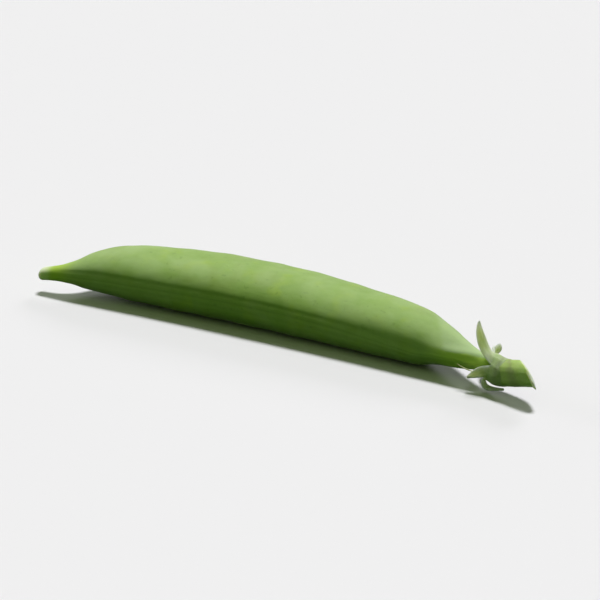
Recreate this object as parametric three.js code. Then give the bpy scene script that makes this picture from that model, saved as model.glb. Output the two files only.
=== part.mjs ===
// A sugar snap pea, picked whole and lying on its side.
//
// Millimetres, +Z up. The pod lies along X with its beak at -X and its stem at +X. The straight seam that
// the peas hang from faces -Y, and the rounded back faces +Y. The pod rests on the belly of its lower side,
// and the origin is on the surface it lies on, under the middle of its box.

import * as THREE from "three";

// Driving dimensions of the pod, in millimetres.
const POD_LENGTH = 80; // from the end of the beak to the end of the neck inside the calyx
const POD_HEIGHT = 15.5; // from seam to back, at the deepest place
const POD_THICKNESS = 10.4; // from one side to the other, as it lies
const SEAM_BOW = 1.5; // how far the seam bows away from a straight line between the ends
const BEAK_DROOP = 1.45; // how far the tip of the beak hangs below the pod's level
const BEAK_DROOP_SHARE = 0.16; // the share of the length over which it turns down
const BELLY_SAG = 0.5; // how far the thinner ends droop, so that the belly lies level
const REST_FLAT = 0.2; // how far the belly is flattened where the pod lies on it
const END_ROUNDING = 0.9; // the length over which the beak and the neck round off

// Driving dimensions of the calyx and the stem.
const MOUTH_SHARE = 0.978; // where the calyx mouth crosses the pod, as a share of its length
const CUP_RADIUS = 2.35;
const CUP_WALL = 0.45;
const CUP_DEPTH = 5;
const RIM_SHARE = 0.94; // the rim's radius, as a share of the cup's
const RIM_SLANT = 2.2; // how much further back the cup's rim lies on its short side
const RIM_SHORT_TURN = 85; // where that short side is, in degrees from straight up towards the seam side
const SEPAL_THICKNESS = 0.42;
const SEPAL_HALF_WIDTH = 1.1;
const SEPAL_CROWN = 0.34; // how far a sepal's edges curl in at its foot, to follow the cup
const STEM_RADIUS = 2.22; // where the stem leaves the cup
const STEM_END_RADIUS = 2;
const BREAK_SLANT = 1.1; // how much longer the broken stem is underneath than along its middle
const THREAD_RADIUS = 0.14;
const GAP = 0.3; // kept between the cup and the pieces that grow from it

// The pod's depth from seam to back and its thickness from side to side, each as a share of the largest,
// against the share of the length from the beak.
const DEPTH_PROFILE = [
  [0, 0.145], [0.03, 0.165], [0.055, 0.228], [0.095, 0.5], [0.16, 0.765], [0.26, 0.93], [0.4, 1],
  [0.56, 0.99], [0.69, 0.885], [0.79, 0.77], [0.87, 0.607], [0.93, 0.364], [0.97, 0.208], [1, 0.145],
];
const THICKNESS_PROFILE = [
  [0, 0.2], [0.03, 0.24], [0.06, 0.33], [0.107, 0.625], [0.168, 0.81], [0.26, 0.92], [0.4, 0.99],
  [0.48, 1], [0.62, 0.97], [0.72, 0.945], [0.8, 0.9], [0.87, 0.695], [0.925, 0.49], [0.97, 0.324], [1, 0.215],
];

// The five sepals, a fifth of a turn apart. turn is where each grows on the cup's rim, in degrees from
// straight up towards the seam side. path holds three points after its foot, each as millimetres towards the
// beak, outwards from the cup's axis, and sideways. The one underneath is folded back along the cup.
const SEPALS = [
  { name: "sepal_top", turn: 20, path: [[0.7, 1.4, 0], [1.2, 3.9, 0], [0.8, 5.9, 0]] },
  { name: "sepal_front", turn: 92, path: [[0.9, 0.5, 0.7], [1.8, 1, 1.6], [2.6, 1.6, 2.4]] },
  { name: "sepal_under", turn: 164, path: [[0.5, 1, 0], [-1.6, 2.7, 0], [-5.5, 1.7, 0]] },
  { name: "sepal_back", turn: 236, path: [[1.5, 1.2, 0], [2.8, 2.8, 0.2], [3.4, 4.6, 0.8]] },
  { name: "sepal_back_top", turn: 308, path: [[0.5, 0.7, 0], [1.1, 1.5, 0], [1.4, 2.4, 0]] },
];
const SEPAL_WIDTH_PROFILE = [[0, 1], [0.3, 0.86], [0.6, 0.62], [0.85, 0.42], [1, 0.3]];

// Two withered stamen threads that come out of the cup beside the neck, given in the same way.
const THREADS = [
  { name: "stamen_thread_long", turn: 130, path: [[1.8, 0.8, 0], [3.6, 1.3, -1], [4.9, 1.2, -2]] },
  { name: "stamen_thread_short", turn: 272, path: [[2, 1.3, -0.2], [3.2, 2.9, -0.6], [4.4, 4.3, -0.4]] },
];

// How finely each piece is divided.
const POD_RINGS = 52;
const POD_CROWDING = 0.11; // how much closer together the rings lie near the ends, where the shape turns most
const POD_END_SHARE = 0.002; // how near each end the last ring lies, before the point that closes it
const POD_SIDES = 28;
const CUP_SIDES = 20;
const SEPAL_STEPS = 12;
const SEPAL_SIDES = 12;
const STEM_STEPS = 8;
const STEM_SIDES = 14;
const THREAD_STEPS = 16;
const THREAD_SIDES = 8;

// A smooth curve through [position, value] pairs that never overshoots them.
function profile(pairs) {
  const slopes = pairs.map((pair, i) => {
    if (i === 0 || i === pairs.length - 1) return 0;
    const before = (pair[1] - pairs[i - 1][1]) / (pair[0] - pairs[i - 1][0]);
    const after = (pairs[i + 1][1] - pair[1]) / (pairs[i + 1][0] - pair[0]);
    return before * after > 0 ? (2 * before * after) / (before + after) : 0;
  });
  return (at) => {
    const beyond = pairs.findIndex((pair) => pair[0] > at);
    const i = beyond < 0 ? pairs.length - 2 : Math.max(0, beyond - 1);
    const span = pairs[i + 1][0] - pairs[i][0];
    const t = THREE.MathUtils.clamp((at - pairs[i][0]) / span, 0, 1);
    const rise = pairs[i + 1][1] - pairs[i][1];
    const start = slopes[i] * span;
    const end = slopes[i + 1] * span;
    return pairs[i][1] + t * (start + t * (3 * rise - 2 * start - end + t * (start + end - 2 * rise)));
  };
}

const depthAt = profile(DEPTH_PROFILE);
const thicknessAt = profile(THICKNESS_PROFILE);
const sepalWidthAt = profile(SEPAL_WIDTH_PROFILE);

// A closed solid over a row of rings that have the same number of points, with a point closing each end.
function loft(rings) {
  const sides = rings[0].length;
  const centreOf = (ring) => ring.reduce((sum, p) => sum.add(p), new THREE.Vector3()).divideScalar(sides);
  const points = [...rings.flat(), centreOf(rings[0]), centreOf(rings[rings.length - 1])];
  const first = points.length - 2;
  const last = points.length - 1;
  const faces = [];
  for (let side = 0; side < sides; side++) {
    const next = (side + 1) % sides;
    faces.push(first, next, side);
    for (let ring = 0; ring < rings.length - 1; ring++) {
      const a = ring * sides;
      const b = a + sides;
      faces.push(a + side, a + next, b + side, a + next, b + next, b + side);
    }
    const end = (rings.length - 1) * sides;
    faces.push(last, end + side, end + next);
  }
  const geometry = new THREE.BufferGeometry().setFromPoints(points);
  geometry.setIndex(volumeOf(points, faces) < 0 ? faces.reverse() : faces);
  geometry.computeVertexNormals();
  return geometry;
}

// Six times the volume inside the faces, negative where they point inwards.
function volumeOf(points, faces) {
  let volume = 0;
  for (let i = 0; i < faces.length; i += 3) {
    const [a, b, c] = [points[faces[i]], points[faces[i + 1]], points[faces[i + 2]]];
    volume += a.dot(new THREE.Vector3().crossVectors(b, c));
  }
  return volume;
}

// Where the pod's section has its middle, and half its depth and thickness, at a share of the length.
function podSection(share) {
  const along = share * POD_LENGTH;
  const fromEnd = Math.min(along, POD_LENGTH - along);
  const nearness = Math.max(0, 1 - fromEnd / END_ROUNDING);
  const rounding = Math.sqrt(1 - nearness * nearness);
  const halfDepth = (depthAt(share) * POD_HEIGHT) / 2;
  const halfThickness = (thicknessAt(share) * POD_THICKNESS) / 2;
  const seam = 4 * SEAM_BOW * share * (1 - share);
  const droop = BEAK_DROOP * Math.max(0, 1 - share / BEAK_DROOP_SHARE) ** 2;
  const sag = BELLY_SAG * Math.tanh((POD_THICKNESS / 2 - halfThickness) / BELLY_SAG);
  return {
    middle: new THREE.Vector3(along, seam + halfDepth, -droop - sag),
    halfDepth: halfDepth * rounding,
    halfThickness: halfThickness * rounding,
  };
}

function makePod() {
  const floor = REST_FLAT - POD_THICKNESS / 2;
  const rings = [];
  for (let i = 0; i <= POD_RINGS; i++) {
    const even = THREE.MathUtils.lerp(POD_END_SHARE, 1 - POD_END_SHARE, i / POD_RINGS);
    const share = even - POD_CROWDING * Math.sin(2 * Math.PI * even);
    const { middle, halfDepth, halfThickness } = podSection(share);
    const ring = [];
    for (let k = 0; k < POD_SIDES; k++) {
      const angle = (2 * Math.PI * k) / POD_SIDES;
      const y = middle.y - halfDepth * Math.cos(angle);
      const z = middle.z + halfThickness * Math.sin(angle);
      ring.push(new THREE.Vector3(middle.x, y, Math.max(z, floor)));
    }
    rings.push(ring);
  }
  return loft(rings);
}

// The calyx grows round the neck: its mouth is at the origin of this frame, its axis runs on towards the
// stem, and up and out are square to it.
const mouth = podSection(MOUTH_SHARE).middle;
const axis = podSection(1).middle.sub(podSection(MOUTH_SHARE - 0.01).middle).normalize();
const up = new THREE.Vector3(0, 0, 1);
const seamward = new THREE.Vector3().crossVectors(up, axis).negate();

// The outward direction at a turn round the axis, from straight up towards the seam side.
function outwardAt(degrees) {
  const turn = THREE.MathUtils.degToRad(degrees);
  return up.clone().multiplyScalar(Math.cos(turn)).addScaledVector(seamward, Math.sin(turn));
}

// The cup's rim is slanted: how far behind the mouth it lies at a turn round the axis.
function rimBehindMouth(degrees) {
  return (RIM_SLANT * (1 + Math.cos(THREE.MathUtils.degToRad(degrees - RIM_SHORT_TURN)))) / 2;
}

// The line that the cup and the stem follow, from the calyx mouth to the broken end of the stem.
function stalkPoint(along, down, towardsSeam) {
  return mouth
    .clone()
    .addScaledVector(axis, along)
    .addScaledVector(up, -down)
    .addScaledVector(seamward, towardsSeam);
}
const stalk = new THREE.CatmullRomCurve3([
  stalkPoint(0, 0.1, 0),
  stalkPoint(1.2, 0.35, 0),
  stalkPoint(3.3, 0.7, 0),
  stalkPoint(5.3, 0.35, 0),
  stalkPoint(7, -0.1, 0.05),
  stalkPoint(8.7, -0.5, 0.1),
]);

// Rings along the stalk. Each station is a distance along it, a radius, and how much of the slant the ring
// takes. The slant is how far on a point lies, at a turn round the ring.
function stalkRings(stations, sides, slantAt) {
  const length = stalk.getLength();
  return stations.map(([distance, radius, slantShare]) => {
    const at = distance / length;
    const centre = stalk.getPointAt(at);
    const ahead = stalk.getTangentAt(at);
    const out = up.clone().addScaledVector(ahead, -up.dot(ahead)).normalize();
    const side = new THREE.Vector3().crossVectors(ahead, out);
    return Array.from({ length: sides }, (_, k) => {
      const turn = (360 * k) / sides;
      const angle = THREE.MathUtils.degToRad(turn);
      return centre
        .clone()
        .addScaledVector(ahead, slantShare * slantAt(turn))
        .addScaledVector(out, radius * Math.cos(angle))
        .addScaledVector(side, radius * Math.sin(angle));
    });
  });
}

// How much further the stem reaches at a turn round it: the most underneath, and the least on top.
function breakSlant(degrees) {
  return -BREAK_SLANT * Math.cos(THREE.MathUtils.degToRad(degrees));
}

// The cup is a thin bell: its outside runs from the foot to the mouth, and its inside runs back again.
function makeCup() {
  const outside = [
    [1, 0.93], [0.9, 0.96], [0.75, 0.98], [0.55, 1], [0.35, 1], [0.15, 0.97], [0, RIM_SHARE],
  ];
  const inside = [[0, RIM_SHARE], [0.15, 0.97], [0.35, 1], [0.55, 0.95], [0.72, 0.8]];
  const stations = [
    ...outside.map(([depth, share]) => [depth * CUP_DEPTH, share * CUP_RADIUS, 1 - depth]),
    ...inside.map(([depth, share]) => [depth * CUP_DEPTH, share * CUP_RADIUS - CUP_WALL, 1 - depth]),
  ];
  return loft(stalkRings(stations, CUP_SIDES, rimBehindMouth));
}

// The stem is short, and it broke off at a slant, so that its underside is the longest.
function makeStem() {
  const start = CUP_DEPTH + GAP;
  const end = stalk.getLength();
  const stations = [];
  for (let i = 0; i <= STEM_STEPS; i++) {
    const share = i / STEM_STEPS;
    const distance = THREE.MathUtils.lerp(start, end, share);
    stations.push([distance, THREE.MathUtils.lerp(STEM_RADIUS, STEM_END_RADIUS, share), share]);
  }
  return loft(stalkRings(stations, STEM_SIDES, breakSlant));
}

// A curve in the calyx frame, from a foot on the cup to the last of its three path points.
function calyxCurve(foot, outward, path) {
  const sideways = new THREE.Vector3().crossVectors(axis, outward);
  const points = path.map(([towardsBeak, out, side]) =>
    foot
      .clone()
      .addScaledVector(axis, -towardsBeak)
      .addScaledVector(outward, out)
      .addScaledVector(sideways, side),
  );
  return new THREE.CubicBezierCurve3(foot, ...points);
}

// A sepal is a thin crescent that narrows from its foot to a blunt tip.
function makeSepal({ turn, path }) {
  const outward = outwardAt(turn);
  const footRadius = CUP_RADIUS * RIM_SHARE - CUP_WALL / 2;
  const halfTurn = THREE.MathUtils.radToDeg(SEPAL_HALF_WIDTH / footRadius);
  const behind = Math.min(rimBehindMouth(turn - halfTurn), rimBehindMouth(turn + halfTurn)) - GAP;
  const foot = mouth.clone().addScaledVector(axis, behind).addScaledVector(outward, footRadius);
  const curve = calyxCurve(foot, outward, path);
  const across = new THREE.Vector3().crossVectors(axis, outward);
  const rings = [];
  for (let i = 0; i <= SEPAL_STEPS; i++) {
    const at = i / SEPAL_STEPS;
    const centre = curve.getPoint(at);
    const ahead = curve.getTangent(at);
    const width = across.clone().addScaledVector(ahead, -across.dot(ahead)).normalize();
    const face = new THREE.Vector3().crossVectors(ahead, width);
    const halfWidth = SEPAL_HALF_WIDTH * sepalWidthAt(at);
    const crown = SEPAL_CROWN * sepalWidthAt(at) ** 2;
    rings.push(
      Array.from({ length: SEPAL_SIDES }, (_, k) => {
        const angle = (2 * Math.PI * k) / SEPAL_SIDES;
        const over = Math.cos(angle);
        const lift = (SEPAL_THICKNESS / 2) * Math.sin(angle) - crown * over * over;
        return centre.clone().addScaledVector(width, halfWidth * over).addScaledVector(face, lift);
      }),
    );
  }
  return loft(rings);
}

function makeThread({ turn, path }) {
  const outward = outwardAt(turn);
  const neck = podSection(MOUTH_SHARE);
  const footRadius = (neck.halfDepth + CUP_RADIUS * RIM_SHARE - CUP_WALL) / 2;
  const foot = mouth.clone().addScaledVector(axis, rimBehindMouth(turn)).addScaledVector(outward, footRadius);
  const curve = calyxCurve(foot, outward, path);
  const frames = curve.computeFrenetFrames(THREAD_STEPS);
  const rings = [];
  for (let i = 0; i <= THREAD_STEPS; i++) {
    const centre = curve.getPointAt(i / THREAD_STEPS);
    rings.push(
      Array.from({ length: THREAD_SIDES }, (_, k) => {
        const angle = (2 * Math.PI * k) / THREAD_SIDES;
        return centre
          .clone()
          .addScaledVector(frames.normals[i], THREAD_RADIUS * Math.cos(angle))
          .addScaledVector(frames.binormals[i], THREAD_RADIUS * Math.sin(angle));
      }),
    );
  }
  return loft(rings);
}

const podGreen = new THREE.MeshStandardMaterial({ color: 0x7a9e48, roughness: 0.48, metalness: 0 });
const calyxGreen = new THREE.MeshStandardMaterial({ color: 0x86a658, roughness: 0.7, metalness: 0 });
const stemGreen = new THREE.MeshStandardMaterial({ color: 0x8aa650, roughness: 0.6, metalness: 0 });
const witheredCream = new THREE.MeshStandardMaterial({ color: 0xc9c79a, roughness: 0.85, metalness: 0 });

function named(name, geometry, material) {
  const mesh = new THREE.Mesh(geometry, material);
  mesh.name = name;
  return mesh;
}

const pea = new THREE.Group();
pea.name = "sugar_snap_pea";
pea.add(named("pod", makePod(), podGreen));
pea.add(named("calyx_cup", makeCup(), calyxGreen));
for (const sepal of SEPALS) pea.add(named(sepal.name, makeSepal(sepal), calyxGreen));
pea.add(named("stem", makeStem(), stemGreen));
for (const thread of THREADS) pea.add(named(thread.name, makeThread(thread), witheredCream));

// Stand the origin under the middle of the whole pea, on the surface that its belly touches.
const box = new THREE.Box3().setFromObject(pea);
const centre = box.getCenter(new THREE.Vector3());
pea.position.set(-centre.x, -centre.y, -box.min.z);

export default pea;
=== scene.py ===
# %% [markdown]
# # A sugar snap pea
# A picked pod lies on its side on a pale table. It is one long shell with a beak at one end and a leafy
# calyx and a broken stem at the other. The seam that it opens along faces the viewer.
#
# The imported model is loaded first. It is the fixed frame: it says how big the pod is and where each piece
# lies. Everything made here replaces plain solids of that frame with a finer surface in their place.

# %% Load the frame
import math

import bpy
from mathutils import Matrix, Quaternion, Vector


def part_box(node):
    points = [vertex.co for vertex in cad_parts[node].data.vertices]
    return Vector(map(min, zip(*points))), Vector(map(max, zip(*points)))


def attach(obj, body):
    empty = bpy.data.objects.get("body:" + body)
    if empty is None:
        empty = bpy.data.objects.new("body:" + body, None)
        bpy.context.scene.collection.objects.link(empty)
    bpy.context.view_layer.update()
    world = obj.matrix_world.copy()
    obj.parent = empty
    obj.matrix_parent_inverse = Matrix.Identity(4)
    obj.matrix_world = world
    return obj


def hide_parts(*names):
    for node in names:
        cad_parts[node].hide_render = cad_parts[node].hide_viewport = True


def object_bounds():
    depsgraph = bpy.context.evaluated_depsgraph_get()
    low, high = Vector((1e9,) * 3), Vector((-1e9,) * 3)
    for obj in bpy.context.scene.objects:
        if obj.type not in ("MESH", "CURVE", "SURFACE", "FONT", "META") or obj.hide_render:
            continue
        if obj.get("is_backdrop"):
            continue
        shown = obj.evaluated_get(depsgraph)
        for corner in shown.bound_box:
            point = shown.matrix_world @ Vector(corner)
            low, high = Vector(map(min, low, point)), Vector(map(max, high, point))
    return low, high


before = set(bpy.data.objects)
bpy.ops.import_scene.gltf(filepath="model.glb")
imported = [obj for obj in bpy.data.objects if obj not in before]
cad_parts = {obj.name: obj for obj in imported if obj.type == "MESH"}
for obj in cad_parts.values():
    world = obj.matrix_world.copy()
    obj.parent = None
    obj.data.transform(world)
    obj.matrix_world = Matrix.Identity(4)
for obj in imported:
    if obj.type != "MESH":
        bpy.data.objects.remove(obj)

CAD_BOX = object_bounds()
MM = 0.001
print("pieces in the frame:", ", ".join(sorted(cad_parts)))

# %% [markdown]
# ## Formulas for node trees
# A pod's shape and its colours are sums: a depth, times a share, plus a swelling. In a node tree each sign
# is a Math node, and a long sum is hard to read back. The small class below holds one output of a node. A
# Python sign between two of them adds the node that it stands for, so a formula here reads like a formula
# and still ends up as nodes that can be opened and changed in Blender.


# %% Wires and nodes
def add_node(tree, kind, inputs=None, **settings):
    """Adds a node with its settings, and joins a wire or writes a value to each input that is given."""
    node = tree.nodes.new(kind)
    for name, value in settings.items():
        setattr(node, name, value)
    for key, value in (inputs or {}).items():
        if isinstance(value, Wire):
            tree.links.new(value.socket, node.inputs[key])
        else:
            node.inputs[key].default_value = value
    return node


class Wire:
    """One output of a node, which signs and functions can join to others."""

    def __init__(self, node, output=0):
        self.socket = node.outputs[output]
        self.tree = node.id_data
        self.is_vector = self.socket.type == "VECTOR"

    def math(self, operation, *others):
        inputs = dict(enumerate([self, *others]))
        return Wire(add_node(self.tree, "ShaderNodeMath", inputs, operation=operation))

    def vector_math(self, operation, *others, output=0):
        inputs = dict(enumerate([self, *others]))
        return Wire(add_node(self.tree, "ShaderNodeVectorMath", inputs, operation=operation), output)

    def __add__(self, other):
        return self.vector_math("ADD", other) if self.is_vector else self.math("ADD", other)

    def __sub__(self, other):
        return self.vector_math("SUBTRACT", other) if self.is_vector else self.math("SUBTRACT", other)

    def __mul__(self, other):
        if isinstance(other, Wire) and other.is_vector:
            return other * self
        if self.is_vector:
            inputs = {0: self, "Scale": other}
            return Wire(add_node(self.tree, "ShaderNodeVectorMath", inputs, operation="SCALE"))
        return self.math("MULTIPLY", other)

    def __truediv__(self, other):
        return self.math("DIVIDE", other)

    def __pow__(self, other):
        return self.math("POWER", other)

    def __neg__(self):
        return self * -1

    def __rsub__(self, other):
        return -self + other

    def __rtruediv__(self, other):
        return self ** -1 * other

    def __abs__(self):
        return self.math("ABSOLUTE")

    __radd__ = __add__
    __rmul__ = __mul__

    def cross(self, other):
        return self.vector_math("CROSS_PRODUCT", other)

    def dot(self, other):
        return self.vector_math("DOT_PRODUCT", other, output=1)

    def unit(self):
        return self.vector_math("NORMALIZE")

    def parts(self):
        node = add_node(self.tree, "ShaderNodeSeparateXYZ", {0: self})
        return [Wire(node, axis) for axis in "XYZ"]


def vector_of(x, y, z):
    """A vector wire from three parts, of which at least one is a wire."""
    tree = next(part.tree for part in (x, y, z) if isinstance(part, Wire))
    return Wire(add_node(tree, "ShaderNodeCombineXYZ", {0: x, 1: y, 2: z}))


def smooth_step(wire, low, high):
    """0 below low and 1 above high, with a soft rise between them."""
    inputs = {"Value": wire, "From Min": low, "From Max": high}
    return Wire(add_node(wire.tree, "ShaderNodeMapRange", inputs, interpolation_type="SMOOTHSTEP"))


def clamp(wire):
    return Wire(add_node(wire.tree, "ShaderNodeClamp", {0: wire}))


def bell(wire, width):
    """1 where the wire is 0, and down to nearly nothing two widths away."""
    return (-((wire / width) ** 2)).math("EXPONENT")


def curve_of(wire, pairs):
    """The wire's value read off a smooth curve through pairs of position and height."""
    node = add_node(wire.tree, "ShaderNodeFloatCurve", {"Value": wire})
    points = node.mapping.curves[0].points
    while len(points) < len(pairs):
        points.new(0.5, 0.5)
    for point, pair in zip(points, pairs):
        point.location = pair
        point.handle_type = "AUTO_CLAMPED"
    node.mapping.update()
    return Wire(node)


def noise(vector, size, detail=2.0, roughness=0.5, distortion=0.0):
    """Soft random values around a half, with blotches of about this size."""
    inputs = {"Vector": vector, "Scale": 1 / size, "Detail": detail}
    inputs |= {"Roughness": roughness, "Distortion": distortion}
    return Wire(add_node(vector.tree, "ShaderNodeTexNoise", inputs, noise_dimensions="3D"))


def new_tree(name, kind, inputs, outputs):
    """A node tree, and a wire for each of its inputs. Inputs and outputs are names with socket types."""
    tree = bpy.data.node_groups.new(name, kind)
    for direction, sockets in (("INPUT", inputs), ("OUTPUT", outputs)):
        for label, socket_type in sockets.items():
            tree.interface.new_socket(label, in_out=direction, socket_type="NodeSocket" + socket_type)
    start = tree.nodes.new("NodeGroupInput")
    return tree, {label: Wire(start, label) for label in inputs}


def finish_tree(tree, results):
    """Joins the results to the tree's outputs."""
    add_node(tree, "NodeGroupOutput", results)
    print(f"node tree {tree.name}: {len(tree.nodes)} nodes")
    return tree


# %% [markdown]
# ## From a tree to a plain mesh
# A Geometry Nodes tree runs as a modifier. Its sizes are set on the modifier by each socket's identifier,
# the mesh that it makes is copied out, and the object that ran it is removed. What stays is a plain mesh at
# the origin, as every piece of the frame is.


# %% Run a tree
def grow(name, tree, values, base=None):
    """The plain mesh object that a tree makes with these values, from a base curve or from nothing."""
    start = bpy.data.objects.new(name + "_start", base or bpy.data.meshes.new(name + "_start"))
    bpy.context.scene.collection.objects.link(start)
    modifier = start.modifiers.new("Grow", "NODES")
    modifier.node_group = tree
    for item in tree.interface.items_tree:
        if item.in_out == "INPUT" and item.name in values:
            modifier[item.identifier] = values[item.name]
    graph = bpy.context.evaluated_depsgraph_get()
    grown = start.evaluated_get(graph)
    mesh = bpy.data.meshes.new_from_object(grown, preserve_all_data_layers=True, depsgraph=graph)
    bpy.data.objects.remove(start)
    mesh.name = name
    piece = bpy.data.objects.new(name, mesh)
    bpy.context.scene.collection.objects.link(piece)
    print(f"{name}: {len(mesh.vertices)} vertices, {len(mesh.polygons)} faces")
    return piece


# %% [markdown]
# ## The pod's measures
# The pod is a long, gently bent pouch. Seen from its side it is deepest in the middle, runs into a blunt
# beak at one end and narrows to a neck at the other. Its thickness follows a curve of its own: it stays
# full for longer and then falls faster. A few pairs for each curve are enough, with the rest left to a
# smooth line through them. The place that the pod starts from comes from the frame.

# %% Measures of the pod
POD_LOW, POD_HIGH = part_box("pod")
POD_LENGTH = 80 * MM
POD_HEIGHT = 15.5 * MM
POD_THICKNESS = 10.4 * MM
SEAM_BOW = 1.5 * MM
BEAK_DROOP = 1.45 * MM
BEAK_DROOP_SHARE = 0.16
BELLY_SAG = 0.5 * MM
REST_FLAT = 0.2 * MM
END_ROUNDING = 0.9 * MM

# Depth from seam to back, and thickness from side to side, as shares of the largest, against the share of
# the length from the beak.
DEPTH_PROFILE = [
    (0, 0.145), (0.03, 0.165), (0.055, 0.228), (0.095, 0.5), (0.16, 0.765), (0.26, 0.93), (0.4, 1),
    (0.56, 0.99), (0.69, 0.885), (0.79, 0.765), (0.87, 0.59), (0.93, 0.35), (0.97, 0.2), (1, 0.145),
]
THICKNESS_PROFILE = [
    (0, 0.2), (0.03, 0.235), (0.06, 0.325), (0.107, 0.61), (0.168, 0.79), (0.26, 0.89), (0.4, 0.95),
    (0.48, 0.955), (0.62, 0.925), (0.72, 0.895), (0.8, 0.84), (0.87, 0.625), (0.925, 0.42), (0.97, 0.275),
    (1, 0.2),
]

# Powers that bend the oval of the section. Below 1 its cheeks are fuller than an ellipse's, and above 1 it
# is a lens, whose walls run straight to the seam.
MIDDLE_POWER = 0.8
NECK_POWER = 1.5

# The seam bows away from the viewer, so the two ends are nearest. This is where the pod's length starts.
NEAREST_SHARE = END_ROUNDING / POD_LENGTH
POD_START = Vector((
    (POD_LOW.x + POD_HIGH.x - POD_LENGTH) / 2,
    POD_LOW.y - 4 * SEAM_BOW * NEAREST_SHARE * (1 - NEAREST_SHARE),
    POD_THICKNESS / 2 - REST_FLAT,
))
print("the pod starts at", [round(part / MM, 2) for part in POD_START], "mm")

# %% [markdown]
# ## The pod's surface
# A flat grid is bent into the pod. One way along the grid runs from beak to neck, the other goes round. The
# grid's lines are drawn closer together at the two ends and beside the seam, where the shape turns fastest,
# so that the narrow ridge of the seam is real geometry and the smooth cheeks cost little.
#
# On that form lie the things that make it a pea pod: the swellings over the peas, each a little different,
# the raised seam with a groove on each side and a slit along its top, the two shoulders beside the seam at
# the neck, a low rib down the back, and the slow unevenness of anything that grew. Each is a height, and
# all of them move the surface along its normal at once.

# %% Measures of the relief
SEAM_HALF_WIDTH = 0.48 * MM
SEAM_RISE = 0.05 * MM
GROOVE_DEPTH = 0.03 * MM
SLIT_DEPTH = 0.02 * MM
SHOULDER_RISE = 0.28 * MM
RIB_RISE = 0.09 * MM
RIB_GROOVE_DEPTH = 0.05 * MM
SLOW_UNEVENNESS = 0.3 * MM
QUICK_UNEVENNESS = 0.2 * MM
PEA_COUNT = 8
PEA_SWELL = 0.2 * MM
PEA_ZONE = (0.15, 0.87)

# How far the grid's lines are drawn together at the ends and at the seam, and how softly the belly is
# pressed level on the table.
END_CROWDING = 0.11
SEAM_CROWDING = 0.6
REST_SOFTNESS = 0.25 * MM
print("one pea swells each", round((PEA_ZONE[1] - PEA_ZONE[0]) * POD_LENGTH / PEA_COUNT / MM, 1), "mm")


# %% Helpers for geometry
def random_between(low, high, wire, seed):
    """A random number for each whole value of the wire, the same every time."""
    # Sockets 2 and 3 are the lowest and highest decimal number, and output 1 is the decimal one.
    inputs = {2: low, 3: high, "ID": wire, "Seed": seed}
    return Wire(add_node(wire.tree, "FunctionNodeRandomValue", inputs, data_type="FLOAT"), 1)


def store(geometry, name, value, data_type="FLOAT"):
    """Writes a value on each point, for a later node or for a material."""
    inputs = {"Geometry": geometry, "Name": name, "Value": value}
    kind = "GeometryNodeStoreNamedAttribute"
    return Wire(add_node(geometry.tree, kind, inputs, data_type=data_type, domain="POINT"))


def stored(tree, name, data_type="FLOAT"):
    return Wire(add_node(tree, "GeometryNodeInputNamedAttribute", {"Name": name}, data_type=data_type))


def dressed(geometry, skin):
    """The end of each tree: smooth shading, real faces for any copies, and the material."""
    smooth = Wire(add_node(geometry.tree, "GeometryNodeSetShadeSmooth", {0: geometry}))
    painted = Wire(add_node(geometry.tree, "GeometryNodeSetMaterial", {0: smooth, "Material": skin}))
    return Wire(add_node(geometry.tree, "GeometryNodeRealizeInstances", {0: painted}))


# %% The seam's line and the relief
def seam_roll(share):
    """How far up the side the seam lies. A pod twists a little, and most of all towards its neck."""
    from_middle = share - 0.5
    near_neck = (share - 0.6).math("MAXIMUM", 0)
    return math.radians(1.5) - (from_middle ** 2 * 25 + near_neck ** 2 * 150) * math.radians(1)


def pod_relief(size, share, round_it, here, from_seam, from_back, full):
    """The height that the peas, the seam, the rib and growth add to the plain form."""
    # Each pea has a cell of its own, in which its swelling rises from nothing and falls back to it.
    cell = (share - PEA_ZONE[0]) * size["Pea Count"] / (PEA_ZONE[1] - PEA_ZONE[0])
    pea = cell.math("FLOOR")
    shift = random_between(-0.1, 0.1, pea, size["Seed"])
    vigour = random_between(0.45, 1, pea, size["Seed"] + 7)
    across = cell - pea - 0.5
    across = across + shift * (1 - across * across * 4)
    bump = ((across * 2 * math.pi).math("COSINE") + 1) / 2
    zone = smooth_step(share, 0.12, 0.2) * (1 - smooth_step(share, 0.8, 0.9))
    cheek = round_it.math("SINE") ** 2 * (1 + round_it.math("COSINE") * 0.35) / 1.35
    swell = bump ** 1.3 * vigour * zone * cheek
    peas = (swell - zone * cheek * 0.35) * size["Pea Swell"]

    width = size["Seam Half Width"]
    away = abs(from_seam)
    ridge = (1 - smooth_step(away, width * 0.55, width * 1.15)) * size["Seam Rise"]
    grooves = bell(away - width * 1.55, width * 0.5) * size["Groove Depth"]
    slit = bell(away, width * 0.2) * size["Slit Depth"]
    lines = bell(away - width * 0.55, width * 0.14) * size["Slit Depth"] * 0.45
    trough = bell(away - width * 4.6, width * 2.2) * size["Groove Depth"] * 0.9
    # Towards the neck the walls stand out on both sides of the seam.
    shoulders = bell(away - 2 * MM, 0.65 * MM) * smooth_step(share, 0.85, 0.93) * SHOULDER_RISE
    seam = (ridge - grooves - slit - lines - trough + shoulders) * full

    rib = bell(from_back, 0.55 * MM) * RIB_RISE - bell(from_back - 1.2 * MM, 0.5 * MM) * RIB_GROOVE_DEPTH
    slow = (noise(here, 17 * MM, 1.0) - 0.5) * SLOW_UNEVENNESS
    quick = (noise(here, 4.2 * MM, 3.0) - 0.5) * QUICK_UNEVENNESS
    return peas + seam + rib * full + (slow + quick) * full, swell


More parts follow.
